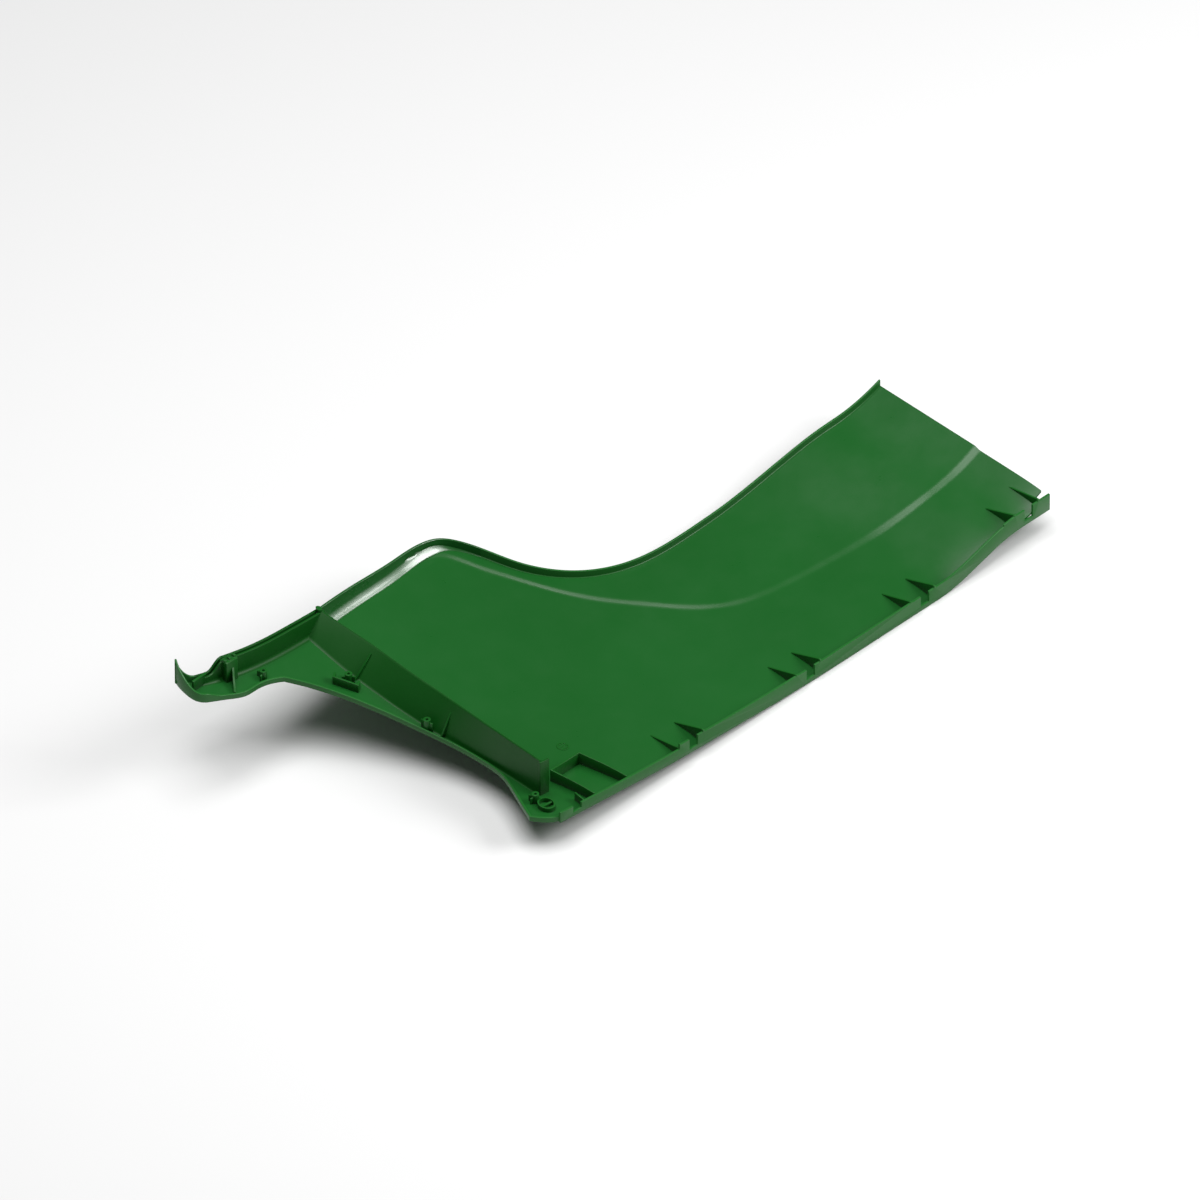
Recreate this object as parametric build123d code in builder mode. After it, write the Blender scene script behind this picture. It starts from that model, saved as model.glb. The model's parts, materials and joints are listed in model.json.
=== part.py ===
"""Moulded side panel of a small riding machine, lying on its outer face.

Millimetres, +Z up. X runs along the lower joint flange towards the plain end, Y runs from that
flange towards the wavy rim. The shape is drawn from the flange's lamp end, and moved at the end so
that the origin lies under the middle of the panel, on the ground.
The panel is one moulding, kept here as its moulded regions, each a closed solid of its own.
"""

import math
import os

from build123d import *

# ---- overall shape of the skin -------------------------------------------------------------------
panel_length = 762.0        # lower joint flange, end to end
end_gap = 2.0               # the skin stops this far short of the flange's plain end
skin = 2.8                  # thickness of the outer skin
wall = 2.5                  # thickness of the standing walls
belly_x = 470.0             # place along the flange where the skin lies lowest
left_lift = 31.0            # how far the flange end beside the lamp stands off the ground
right_lift = 26.0           # how far the plain end stands off the ground
step_start = 590.0          # the lower edge sweeps up to the plain end from here
step_length = 125.0
edge_roll = 4.0             # the skin turns up this much just inside the flange
edge_roll_run = 15.0
valley = 4.0                # shallow valley under the style line
valley_y = 140.0
valley_half_width = 70.0
bowl_rise = 6.0             # the skin curls up beyond the valley
bowl_run = 140.0
arm_tilt = 0.10             # slope across the panel at the arm
arm_tilt_from = -150.0
arm_tilt_run = 560.0
rim_sweep_start = 500.0     # beside the rim the sweep up to the plain end is longer and gentler
rim_sweep_length = 260.0
rim_sweep_width = 240.0     # it takes over gradually, this far from the flange
tilt_soft = 40.0
straight_from = 640.0       # valley and curl fade out towards the straight plain end
straight_run = 110.0
end_flare = 16.7            # the last stretch of the skin flares up
end_flare_from = 690.0
end_flare_run = 70.0
shoulder_step = 2.4         # the shoulder's skin lies this much over the main field's

# ---- walls, lips and small features --------------------------------------------------------------
rim_low = 10.5              # rim height along the plain end
rim_high = 25.0             # rim height along the arm
rim_fade_from = -60.0
rim_fade_run = 440.0
step_width = 6.0            # strip that carries the step along the style line
fillet_width = 3.4          # steep strip between the shoulder and the rim, beside the peak
fillet_rise = 3.5
flange_low = 14.0           # flange height left of the first notch
flange_high = 20.0
flange_end_rise = 2.0       # the flange is this much taller at the plain end
notch_width = 13.0
notch_floor = 6.0           # flange left under a notch
slot_depth = 11.0           # end slot between skin and flange
slot_width = 9.0
gusset_length = 43.0
gusset_before_notch = 22.0
gusset_after_notch = 14.5
lip_width = 3.0             # upstanding lip along the lamp opening
lip_height = 4.0
horn_lip_extra = 5.0        # the arm's lower lip is taller beside the hooked tip
horn_lip_run = 20.0
flange_step_x = 184.0       # the flange steps up here
flange_end_x = 690.0        # and again here
flange_step = 16.0          # spacing of the straight runs along the flange's upper edge
flange_spans = 36           # points along its lower edge
tab_before_notch = 1.0      # small tabs that carry the gussets above the flange
tab_after_notch = 3.0
gusset_thickness = 2.0
pocket_wall = 2.0
pocket_height = 12.5        # height of the pocket's walls beside the flange
pocket_taper = 3.5          # the walls are this much taller at the far side
pocket_corners = [(55, 0), (40, 55), (87, 59), (105, 0)]
notch_rib_x = 38.0          # short rib beside the first notch
notch_rib_reach = 16.0
notch_rib_height = 11.0
corner_wall_end = 25.0      # the wall that turns off the rib's lower end stops here
corner_wall_y = (42.5, 45.0)
knob_radius = 3.5           # rounded knob where the rib meets the rim
knob_height = 4.0
knob_place = (3.0, 377.5)
arm_rim_saddle = 9.0        # rim height beyond the latch tower
saddle_from = -172.0
saddle_run = 20.0
tower_x = (-156.0, -139.0)  # latch tower inside the rim
tower_y = (359.0, 370.0)
tower_height = 26.0
tooth_width = 3.0
tooth_height = 2.5
divider_start = (-142.0, 364.0)
divider_end = (-161.0, 341.0)
divider_high = 24.0
divider_low = 4.0
web_start = (-200.0, 367.0) # web between the hooked tip and the rim
web_end = (-176.0, 371.0)
web_height = 14.0
clip_start = (-48.0, 303.0) # clip wall beside the lamp opening
clip_end = (-33.5, 280.0)
clip_height = 11.0
clip_return = 8.0
cup_place = (3.0, 25.0)     # open cup in the lower corner
cup_outer = 10.0
cup_inner = 8.0
cup_height = 6.0
cup_cross_height = 4.0
stiffener_reach = 9.0       # fins on the lamp side of the rib
stiffener_share = 0.75
stiffener_places = {"upper": 295.0, "lower": 177.0}
mark_place = (95.0, 92.0)   # plain moulded mark
mark_radius = 7.0
mark_line = 1.4
mark_height = 0.6
groove_width = 2.6          # channel along the arm's rim for the mating cover
groove_depth = 6.0
arm_rim_width = 7.5
boss_radius = 4.2
screw_radius = 1.7          # pilot bore for a 4 mm thread-forming screw
screw_depth = 10.0
boss_web = 1.6
boss_web_reach = 7.5        # the webs run this far from the boss's axis
boss_web_drop = 3.0         # and stay this far under its top
boss_places = {             # plan position, height over the skin, directions of the webs
    "arm": ((-113.0, 346.0), 11.5, (20.0, 110.0, 200.0)),
    "lamp": ((-30.0, 298.0), 11.5, (60.0, 150.0, 300.0)),
    "rib": ((-9.5, 197.0), 15.0, (100.0, 280.0)),
    "corner": ((-1.0, 38.0), 12.0, (30.0, 120.0, 180.0)),
}

notch_places = [26.0, 205.5, 387.5, 566.0, 728.7]

# ---- plan curves ---------------------------------------------------------------------------------
skin_end_x = panel_length - end_gap
rim_points = [(skin_end_x, 263), (700, 266), (610, 267), (460, 262), (373, 268), (317, 291), (272, 337),
              (241, 393), (221, 410), (194, 413.5), (140, 405), (66, 393), (8, 382)]
arm_points = [(8, 382), (-46, 375.5), (-112, 371.5), (-160, 374.5), (-188, 378)]
tip = (-206, 389)
arm_end_points = [tip, (-209, 369), (-206, 356), (-197, 349)]
arm_edge_points = [(-197, 349), (-173, 342), (-149, 336), (-127, 338), (-109, 337), (-94, 333)]
lamp_points = [(-94, 333), (-70, 305.5), (-36, 245), (-14, 190), (-2.5, 154), (2, 125), (2, 97),
               (-5, 74), (-17, 47), (-28, 20)]
lobe_points = [(-28, 20), (-16, 9.5), (0, wall)]
style_points = [(12, 378), (38, 382.5), (76, 389), (114, 395), (150, 400.5), (180, 405), (201, 406.5),
                (216, 402), (227, 389), (238, 368), (258, 334), (283, 292), (312, 252), (349, 213),
                (389, 174), (428, 151), (481, 139), (545, 131), (620, 122), (690, 114),
                (skin_end_x, 113)]
peak_end_x = 345.0          # the shoulder's narrow part beside the rim's peak ends here
ridge_from = 8              # the step leaves the rim at this point of the style line
rim_fillet_from = 5         # the fillet strip follows the rim from this point on
foot_line_points = [(-21, 372), (-20, 308), (-13, 241), (-5, 190), (4, 150), (9, 110), (11, 45)]
rib_sections = [            # place along Y, foot X, top X, height over the skin
    (394.0, -21.0, 2.0, 24.5),
    (377.0, -21.0, 3.0, 25.0),
    (308.0, -20.0, 8.5, 33.0),
    (241.0, -13.0, 9.0, 39.0),
    (190.0, -5.0, 12.0, 43.0),
    (150.0, 4.0, 13.0, 46.0),
    (110.0, 9.0, 13.0, 47.0),
    (45.0, 11.0, 13.0, 47.0),
]

ceiling = 260.0             # above everything
cellar = -60.0              # below everything
grid_step = 26.0
grid_x = (-236.0, 804.0)
grid_y = (-26.0, 442.0)


def smooth(t):
    """0 to 1 with a level start and finish."""
    t = min(max(t, 0.0), 1.0)
    return t * t * (3 - 2 * t)


def base_height(x):
    """Height of the flange's lower edge, which is also the skin's outer face there."""
    left = left_lift * max((belly_x - x) / belly_x, 0.0) ** 2
    return left + right_lift * smooth((x - step_start) / step_length)


def tilt(x):
    """Slope across the panel: steep at the arm, level from the belly on."""
    return arm_tilt * (1 - smooth((x - arm_tilt_from) / arm_tilt_run))


def rim_sweep(x, y):
    """What the gentler sweep beside the rim adds to the lower edge's own sweep."""
    gentle = smooth((x - rim_sweep_start) / rim_sweep_length)
    steep = smooth((x - step_start) / step_length)
    return right_lift * (gentle - steep) * smooth(y / rim_sweep_width)


def inner_height(x, y):
    """Height of the skin's inner face."""
    y = max(y, 0.0)
    curved = 1 - smooth((x - straight_from) / straight_run)
    z = base_height(x) + skin
    z += edge_roll * (1 - math.exp(-y / edge_roll_run))
    z -= curved * valley * math.exp(-(((y - valley_y) / valley_half_width) ** 2))
    z += curved * bowl_rise * (max(y - valley_y, 0.0) / bowl_run) ** 2
    z += tilt(x) * y * y / (y + tilt_soft) + rim_sweep(x, y)
    z += end_flare * max((x - end_flare_from) / end_flare_run, 0.0) ** 2
    return z


def rim_rise(x):
    """Height of the rim over the skin."""
    return rim_low + (rim_high - rim_low) * (1 - smooth((x - rim_fade_from) / rim_fade_run))


def horn_rise(y):
    """Height of the arm's end wall over the skin: it climbs to the hooked tip."""
    low, high = arm_end_points[-1][1], tip[1]
    climb = min(max((y - low) / (high - low), 0.0), 1.15)
    return lip_height + 26.0 * climb**1.6


def arm_rim_rise(x):
    """Height of the arm's rim over the skin: full height up to the latch tower, then a saddle."""
    return arm_rim_saddle + (rim_rise(x) - arm_rim_saddle) * smooth((x - saddle_from) / saddle_run)


def sheet(height):
    """Smooth open surface through height(x, y) over the whole panel."""
    columns = int(round((grid_x[1] - grid_x[0]) / grid_step)) + 1
    rows = int(round((grid_y[1] - grid_y[0]) / grid_step)) + 1
    xs = [grid_x[0] + grid_step * i for i in range(columns)]
    ys = [grid_y[0] + grid_step * j for j in range(rows)]
    rows = [[(x, y, height(x, y)) for y in ys] for x in xs]
    return Face.make_surface_from_array_of_points(rows, tol=0.01)


def above(height):
    """Everything over a surface, for cutting a wall to its height."""
    with BuildPart() as region:
        extrude(sheet(height), amount=ceiling, dir=(0, 0, 1))
    return region.part


with BuildPart() as slab_build:
    extrude(sheet(inner_height), amount=skin, dir=(0, 0, -1))
skin_slab = slab_build.part
with BuildPart() as below_build:
    extrude(sheet(inner_height), amount=ceiling, dir=(0, 0, -1))
below_inner = below_build.part
below_outer = Pos(0, 0, -skin) * below_inner


def panel_outline():
    """Plan outline of the skin, rim and lips together."""
    with BuildSketch() as plan:
        with BuildLine():
            Line((0, wall), (skin_end_x, wall))
            Line((skin_end_x, wall), rim_points[0])
            Spline(*rim_points)
            Spline(*arm_points)
            Line(arm_points[-1], tip)
            Spline(*arm_end_points)
            Spline(*arm_edge_points)
            Spline(*lamp_points)
            Spline(*lobe_points)
        make_face()
    return plan.sketch


def arm_side():
    """Plan area on the lamp side of the cross rib's foot."""
    with BuildSketch() as plan:
        with BuildLine():
            foot = Spline(*foot_line_points)
            far = (grid_x[0], foot_line_points[0][1] + 60)
            Polyline(foot @ 0, (foot_line_points[0][0], far[1]), far, (far[0], 0),
                     (foot_line_points[-1][0], 0), foot @ 1)
        make_face()
    return plan.sketch


def shoulder_side():
    """Plan area between the style line and everything beyond the rim."""
    with BuildSketch() as plan:
        with BuildLine():
            style = Spline(*style_points)
            Polyline(style @ 1, (grid_x[1], style_points[-1][1]), (grid_x[1], grid_y[1]),
                     (style_points[0][0], grid_y[1]), style @ 0)
        make_face()
    return plan.sketch


def ribbon(points, width):
    """Plan band along a smooth line, kept inside the panel's outline."""
    with BuildSketch() as band:
        with BuildLine() as path:
            Spline(*points)
        trace(path.line, line_width=2 * width)
        add(panel_outline(), mode=Mode.INTERSECT)
    return band.sketch


outline = panel_outline()
lamp_region = arm_side()
shoulder_region = shoulder_side()
rim_band = ribbon(rim_points, wall)
arm_rim_band = ribbon(arm_points, arm_rim_width)
horn_band = ribbon(arm_end_points, wall)
lamp_band = ribbon(lamp_points, lip_width)
arm_edge_band = ribbon(arm_edge_points, lip_width)
lobe_band = ribbon(lobe_points, lip_width)


# ---- helpers for what stands on the skin ---------------------------------------------------------
pieces = {}


def export(part, name):
    """Keep a finished piece under its name until the panel is placed in its frame."""
    part.label = name
    pieces[name] = part


def largest(part):
    """The main body of a cut piece, without the crumbs that a grazing cut leaves."""
    with BuildPart() as body:
        add(part.solids().sort_by(SortBy.VOLUME)[-1])
    return body.part


def standing(plan, rise):
    """A wall over a plan area, from the skin's inner face up to rise(x, y) over it."""
    with BuildPart() as piece:
        with BuildSketch(Plane.XY.offset(cellar)):
            add(plan)
        extrude(amount=ceiling - cellar)
        add(above(lambda x, y: inner_height(x, y) + rise(x, y)), mode=Mode.SUBTRACT)
        add(below_inner, mode=Mode.SUBTRACT)
    return piece.part


def edge_wall(plan, rise):
    """A wall over a plan area, from the skin's outer face up to rise(x, y) over the inner face."""
    with BuildPart() as piece:
        with BuildSketch(Plane.XY.offset(cellar)):
            add(plan)
        extrude(amount=ceiling - cellar)
        add(above(lambda x, y: inner_height(x, y) + rise(x, y)), mode=Mode.SUBTRACT)
        add(below_outer, mode=Mode.SUBTRACT)
    return piece.part


def skin_piece(plan):
    """Part of the skin over a plan area."""
    with BuildPart() as piece:
        with BuildSketch(Plane.XY.offset(cellar)):
            add(plan)
        extrude(amount=ceiling - cellar)
        add(skin_slab, mode=Mode.INTERSECT)
    return piece.part


def bar_plan(start, end, width):
    """Plan rectangle from one point to another, centred on the line between them."""
    dx, dy = end[0] - start[0], end[1] - start[1]
    run = math.hypot(dx, dy)
    middle = ((start[0] + end[0]) / 2, (start[1] + end[1]) / 2)
    with BuildSketch() as plan:
        with Locations(Location((middle[0], middle[1], 0), (0, 0, math.degrees(math.atan2(dy, dx))))):
            Rectangle(run, width)
    return plan.sketch


os.makedirs("parts", exist_ok=True)

# ---- shoulder: the field between the style line and the rim --------------------------------------
with BuildSketch() as shoulder_plan:
    add(outline)
    add(shoulder_region, mode=Mode.INTERSECT)
    add(rim_band, mode=Mode.SUBTRACT)
shoulder_skin = largest(skin_piece(shoulder_plan.sketch).moved(Location((0, 0, shoulder_step))))
shoulder_parts = [("peak_skin", grid_x[0], peak_end_x), ("shoulder_skin", peak_end_x, grid_x[1])]
for name, start_x, stop_x in shoulder_parts:
    with BuildPart() as shoulder_part:
        add(shoulder_skin)
        with Locations(((start_x + stop_x) / 2, (grid_y[0] + grid_y[1]) / 2, 0)):
            Box(stop_x - start_x, grid_y[1] - grid_y[0], 2 * ceiling, mode=Mode.INTERSECT)
    export(largest(shoulder_part.part), name)

# ---- style line: the strip that carries the step up to the shoulder ------------------------------
with BuildSketch() as ridge_plan:
    add(ribbon(style_points[ridge_from:], step_width))
    add(shoulder_region, mode=Mode.SUBTRACT)
style_ridge = standing(ridge_plan.sketch, lambda x, y: shoulder_step)
export(largest(style_ridge), "style_ridge")

# ---- rim fillet: the steep strip that carries the shoulder up to the rim beside the peak ---------
with BuildSketch() as fillet_plan:
    add(ribbon(rim_points[rim_fillet_from:], wall + fillet_width))
    add(rim_band, mode=Mode.SUBTRACT)
    add(shoulder_region, mode=Mode.INTERSECT)
with BuildPart() as fillet_build:
    add(standing(fillet_plan.sketch, lambda x, y: shoulder_step + fillet_rise))
    add(shoulder_skin, mode=Mode.SUBTRACT)
rim_fillet = largest(fillet_build.part)
export(rim_fillet, "rim_fillet")

# ---- rim -----------------------------------------------------------------------------------------
rim_wall = edge_wall(rim_band, lambda x, y: rim_rise(x))
export(largest(rim_wall), "rim_wall")

# ---- main field of the skin, and its flared end beside the flange's slot -------------------------
end_width = skin_end_x - end_flare_from
end_middle = (end_flare_from + end_width / 2, (grid_y[0] + grid_y[1]) / 2)
with BuildSketch() as field_plan:
    add(outline)
    add(lamp_region, mode=Mode.SUBTRACT)
    add(shoulder_region, mode=Mode.SUBTRACT)
    add(rim_band, mode=Mode.SUBTRACT)
    add(arm_rim_band, mode=Mode.SUBTRACT)
    with Locations((skin_end_x - slot_depth / 2, wall + slot_width / 2)):
        Rectangle(slot_depth, slot_width, mode=Mode.SUBTRACT)
with BuildSketch() as side_plan:
    add(field_plan.sketch)
    with Locations(end_middle):
        Rectangle(end_width, grid_y[1] - grid_y[0], mode=Mode.SUBTRACT)
with BuildSketch() as end_plan:
    add(field_plan.sketch)
    with Locations(end_middle):
        Rectangle(end_width, grid_y[1] - grid_y[0], mode=Mode.INTERSECT)
side_skin = skin_piece(side_plan.sketch)
export(largest(side_skin), "side_skin")
export(largest(skin_piece(end_plan.sketch)), "end_flare")

# ---- arm: floor, rim channel, horn, lips ---------------------------------------------------------
with BuildSketch() as arm_plan:
    add(outline)
    add(lamp_region, mode=Mode.INTERSECT)
    add(rim_band, mode=Mode.SUBTRACT)
    add(arm_rim_band, mode=Mode.SUBTRACT)
    add(horn_band, mode=Mode.SUBTRACT)
    add(lamp_band, mode=Mode.SUBTRACT)
    add(arm_edge_band, mode=Mode.SUBTRACT)
    add(lobe_band, mode=Mode.SUBTRACT)
arm_floor = skin_piece(arm_plan.sketch)
export(largest(arm_floor), "arm_floor")

with BuildSketch() as groove_plan:
    add(ribbon(arm_points, (arm_rim_width + groove_width) / 2))
    add(ribbon(arm_points, (arm_rim_width - groove_width) / 2), mode=Mode.SUBTRACT)
with BuildSketch() as arm_rim_plan:
    add(arm_rim_band)
    add(horn_band, mode=Mode.SUBTRACT)
    add(rim_band, mode=Mode.SUBTRACT)
with BuildPart() as groove_build:
    add(standing(groove_plan.sketch, lambda x, y: arm_rim_rise(x) + 1))
    add(standing(groove_plan.sketch, lambda x, y: arm_rim_rise(x) - groove_depth), mode=Mode.SUBTRACT)
with BuildPart() as arm_rim_build:
    add(edge_wall(arm_rim_plan.sketch, lambda x, y: arm_rim_rise(x)))
    add(groove_build.part, mode=Mode.SUBTRACT)
arm_rim = largest(arm_rim_build.part)
export(arm_rim, "arm_rim_channel")

horn_wall = edge_wall(horn_band, lambda x, y: horn_rise(y))
export(largest(horn_wall), "horn_tip")


def arm_lip_rise(x):
    """Height of the arm's lower lip: taller beside the hooked tip."""
    return lip_height + horn_lip_extra * (1 - smooth((x - arm_edge_points[0][0]) / horn_lip_run))


def lip(plan, name, others, rise=lambda x, y: lip_height):
    """An upstanding lip along an edge of the skin, cut where another lip already stands."""
    with BuildSketch() as trimmed:
        add(plan)
        for other in others:
            add(other, mode=Mode.SUBTRACT)
    piece = largest(edge_wall(trimmed.sketch, rise))
    export(piece, name)
    return piece


arm_lip = lip(arm_edge_band, "arm_lower_lip", [horn_band], lambda x, y: arm_lip_rise(x))
lamp_lip = lip(lamp_band, "lamp_opening_lip", [arm_edge_band, horn_band])
lobe_lip = lip(lobe_band, "corner_lobe_lip", [lamp_band])

# ---- cross rib: thin leaning wall that stands on the skin ----------------------------------------
with BuildPart() as rib_build:
    for along, foot, top, height in rib_sections:
        low = inner_height(foot, along) - skin
        high = inner_height(top, along) + height
        with BuildSketch(Plane.XZ.offset(-along)):
            with BuildLine():
                Polyline((foot, low), (foot + wall, low), (top + wall, high), (top, high), close=True)
            make_face()
    loft()
    with BuildSketch(Plane.XY.offset(cellar)):
        add(outline)
    extrude(amount=ceiling - cellar, mode=Mode.INTERSECT)
    add(below_inner, mode=Mode.SUBTRACT)
    add(arm_rim, mode=Mode.SUBTRACT)
    add(rim_wall, mode=Mode.SUBTRACT)
    add(rim_fillet, mode=Mode.SUBTRACT)
cross_rib = largest(rib_build.part)
export(cross_rib, "cross_rib")

knob_x, knob_y = knob_place
with BuildPart() as knob_build:
    with BuildSketch(Plane.XY.offset(cellar)):
        with Locations(knob_place):
            Circle(knob_radius)
    extrude(amount=ceiling - cellar)
    add(above(lambda x, y: inner_height(x, y) + rim_rise(x) + knob_height), mode=Mode.SUBTRACT)
    with BuildPart(mode=Mode.PRIVATE) as under_knob:
        extrude(sheet(lambda x, y: inner_height(x, y) + rim_rise(x)), amount=ceiling, dir=(0, 0, -1))
    add(under_knob.part, mode=Mode.SUBTRACT)
    add(cross_rib, mode=Mode.SUBTRACT)
    add(arm_rim, mode=Mode.SUBTRACT)
    add(rim_wall, mode=Mode.SUBTRACT)
export(largest(knob_build.part), "rim_knob")

# ---- wall that turns off the rib's lower end -----------------------------------------------------
rib_end = rib_sections[-1]
with BuildPart() as corner_wall_build:
    with BuildSketch(Plane.XY.offset(cellar)):
        with BuildLine():
            Polyline((rib_end[1], corner_wall_y[0]), (corner_wall_end, corner_wall_y[0]),
                     (corner_wall_end, corner_wall_y[1]), (rib_end[1], corner_wall_y[1]), close=True)
        make_face()
    extrude(amount=ceiling - cellar)
    add(above(lambda x, y: inner_height(x, y) + rib_end[3]), mode=Mode.SUBTRACT)
    add(below_inner, mode=Mode.SUBTRACT)
corner_wall = largest(corner_wall_build.part)
export(corner_wall, "corner_return_wall")


# ---- lower joint flange --------------------------------------------------------------------------
def flange_rise(x):
    """Height of the flange over its lower edge."""
    if x < flange_step_x:
        return flange_low
    return flange_high + (flange_end_rise if x > flange_end_x else 0.0)


gusset_starts = []
for notch_x in notch_places[1:]:
    gusset_starts.append((notch_x - gusset_before_notch, tab_before_notch))
    gusset_starts.append((notch_x + gusset_after_notch, tab_after_notch))


def flange_top(x, middle):
    """Height of the flange's upper edge at x, on the stretch whose middle is given."""
    for notch_x in notch_places:
        if abs(middle - notch_x) < notch_width / 2:
            return base_height(notch_x) + notch_floor
    tab = 0.0
    for start, rise in gusset_starts:
        if start < middle < start + gusset_thickness:
            tab = rise
    return base_height(x) + flange_rise(middle) + tab


flange_breaks = [0.0, flange_step_x, flange_end_x, panel_length]
for notch_x in notch_places:
    flange_breaks += [notch_x - notch_width / 2, notch_x + notch_width / 2]
for start, tab in gusset_starts:
    flange_breaks += [start, start + gusset_thickness]
flange_breaks.sort()

upper_edge = []
for start, end in zip(flange_breaks, flange_breaks[1:]):
    count = int((end - start) / flange_step) + 1
    for i in range(count + 1):
        x = start + (end - start) * i / count
        point = (x, flange_top(x, (start + end) / 2))
        if not upper_edge or math.dist(point, upper_edge[-1]) > 0.01:
            upper_edge.append(point)
lower_places = [panel_length * i / flange_spans for i in range(flange_spans + 1)]

with BuildPart() as flange_build:
    with BuildSketch(Plane.XZ):
        with BuildLine():
            lower_edge = Spline(*[(x, base_height(x)) for x in lower_places])
            Polyline(lower_edge @ 0, *upper_edge, lower_edge @ 1)
        make_face()
    extrude(amount=-wall)
lower_flange = flange_build.part
export(lower_flange, "lower_flange")

# ---- gussets beside the notches ------------------------------------------------------------------
for number, (start, tab) in enumerate(gusset_starts, start=1):
    reach = wall + gusset_length
    top = base_height(start) + flange_rise(start) + tab
    with BuildPart() as gusset_build:
        with BuildSketch(Plane.YZ.offset(start)):
            with BuildLine():
                reach_top = inner_height(start, reach) + 0.3
                Polyline((wall, top), (reach, reach_top), (reach, cellar), (wall, cellar), close=True)
            make_face()
        extrude(amount=gusset_thickness)
        add(below_inner, mode=Mode.SUBTRACT)
        add(lower_flange, mode=Mode.SUBTRACT)
    export(largest(gusset_build.part), f"flange_gusset_{number}")

# ---- pocket and short rib beside the first notch -------------------------------------------------
with BuildSketch() as pocket_plan:
    for start, end in zip(pocket_corners, pocket_corners[1:]):
        add(bar_plan(start, end, pocket_wall))
    for corner in pocket_corners[1:3]:
        with Locations(corner):
            Circle(pocket_wall / 2)
    add(outline, mode=Mode.INTERSECT)
pocket = standing(pocket_plan.sketch, lambda x, y: pocket_height + pocket_taper * y / pocket_corners[1][1])
export(largest(pocket), "pocket_frame")

with BuildSketch() as notch_rib_plan:
    add(bar_plan((notch_rib_x, 0), (notch_rib_x, notch_rib_reach), pocket_wall))
    add(outline, mode=Mode.INTERSECT)
notch_rib = standing(notch_rib_plan.sketch, lambda x, y: notch_rib_height)
export(largest(notch_rib), "notch_rib")


# ---- screw bosses --------------------------------------------------------------------------------
def screw_boss(place, height, web_angles, others):
    """Flat-topped boss with a pilot bore and thin webs."""
    x, y = place
    top = inner_height(x, y) + height
    with BuildPart() as piece:
        with Locations((x, y, top)):
            Cylinder(boss_radius, height + 2 * skin, align=(Align.CENTER, Align.CENTER, Align.MAX))
        for angle in web_angles:
            turn = math.radians(angle)
            end = (x + boss_web_reach * math.cos(turn), y + boss_web_reach * math.sin(turn))
            with BuildSketch(Plane.XY.offset(top - boss_web_drop)):
                add(bar_plan(place, end, boss_web))
            extrude(amount=-(height - boss_web_drop + 2 * skin))
        add(below_inner, mode=Mode.SUBTRACT)
        for other in others:
            add(other, mode=Mode.SUBTRACT)
        with Locations((x, y, top)):
            Cylinder(screw_radius, screw_depth, align=(Align.CENTER, Align.CENTER, Align.MAX),
                     mode=Mode.SUBTRACT)
    return largest(piece.part)


bosses = {}
for label, (place, height, web_angles) in boss_places.items():
    bosses[label] = screw_boss(place, height, web_angles, [cross_rib, arm_lip, lamp_lip, lobe_lip])
    export(bosses[label], f"screw_boss_{label}")

# ---- open cup in the lower corner ----------------------------------------------------------------
with BuildSketch() as cup_plan:
    with Locations(cup_place):
        Circle(cup_outer)
        Circle(cup_inner, mode=Mode.SUBTRACT)
cup_reach = cup_inner + 1
with BuildSketch() as cup_cross_plan:
    add(bar_plan((cup_place[0] - cup_reach, cup_place[1]), (cup_place[0] + cup_reach, cup_place[1]), wall))
with BuildPart() as cup_build:
    add(standing(cup_plan.sketch, lambda x, y: cup_height))
    add(standing(cup_cross_plan.sketch, lambda x, y: cup_cross_height))
    add(bosses["corner"], mode=Mode.SUBTRACT)
    add(cross_rib, mode=Mode.SUBTRACT)
export(largest(cup_build.part), "corner_cup")

# ---- clip wall beside the lamp opening -----------------------------------------------------------
clip_run = math.hypot(clip_end[0] - clip_start[0], clip_end[1] - clip_start[1])
clip_side = ((clip_end[1] - clip_start[1]) / clip_run, -(clip_end[0] - clip_start[0]) / clip_run)
with BuildSketch() as clip_plan:
    add(bar_plan(clip_start, clip_end, wall))
    for corner in (clip_start, clip_end):
        far = (corner[0] - clip_return * clip_side[0], corner[1] - clip_return * clip_side[1])
        add(bar_plan(corner, far, wall))
        with Locations(corner):
            Circle(wall / 2)
lamp_clip = standing(clip_plan.sketch, lambda x, y: clip_height)
with BuildPart() as clip_build:
    add(lamp_clip)
    add(lamp_lip, mode=Mode.SUBTRACT)
    add(bosses["lamp"], mode=Mode.SUBTRACT)
export(largest(clip_build.part), "lamp_clip")

# ---- latch tower, divider and web at the arm's end -----------------------------------------------
tower_top = inner_height((tower_x[0] + tower_x[1]) / 2, tower_y[1]) + tower_height
with BuildPart() as tower_build:
    with BuildSketch(Plane.XY.offset(cellar)):
        with Locations(((tower_x[0] + tower_x[1]) / 2, (tower_y[0] + tower_y[1]) / 2)):
            Rectangle(tower_x[1] - tower_x[0], tower_y[1] - tower_y[0])
    extrude(amount=tower_top - cellar)
    pitch = (tower_x[1] - tower_x[0] - tooth_width) / 2
    with BuildSketch(Plane.XY.offset(tower_top)):
        first_tooth = tower_x[0] + tooth_width / 2
        with Locations(*[(first_tooth + pitch * i, tower_y[0] + 2 * wall) for i in range(3)]):
            Rectangle(tooth_width, 2 * wall)
    extrude(amount=tooth_height)
    add(below_inner, mode=Mode.SUBTRACT)
    add(arm_rim, mode=Mode.SUBTRACT)
tower = largest(tower_build.part)
export(tower, "latch_tower")

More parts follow.
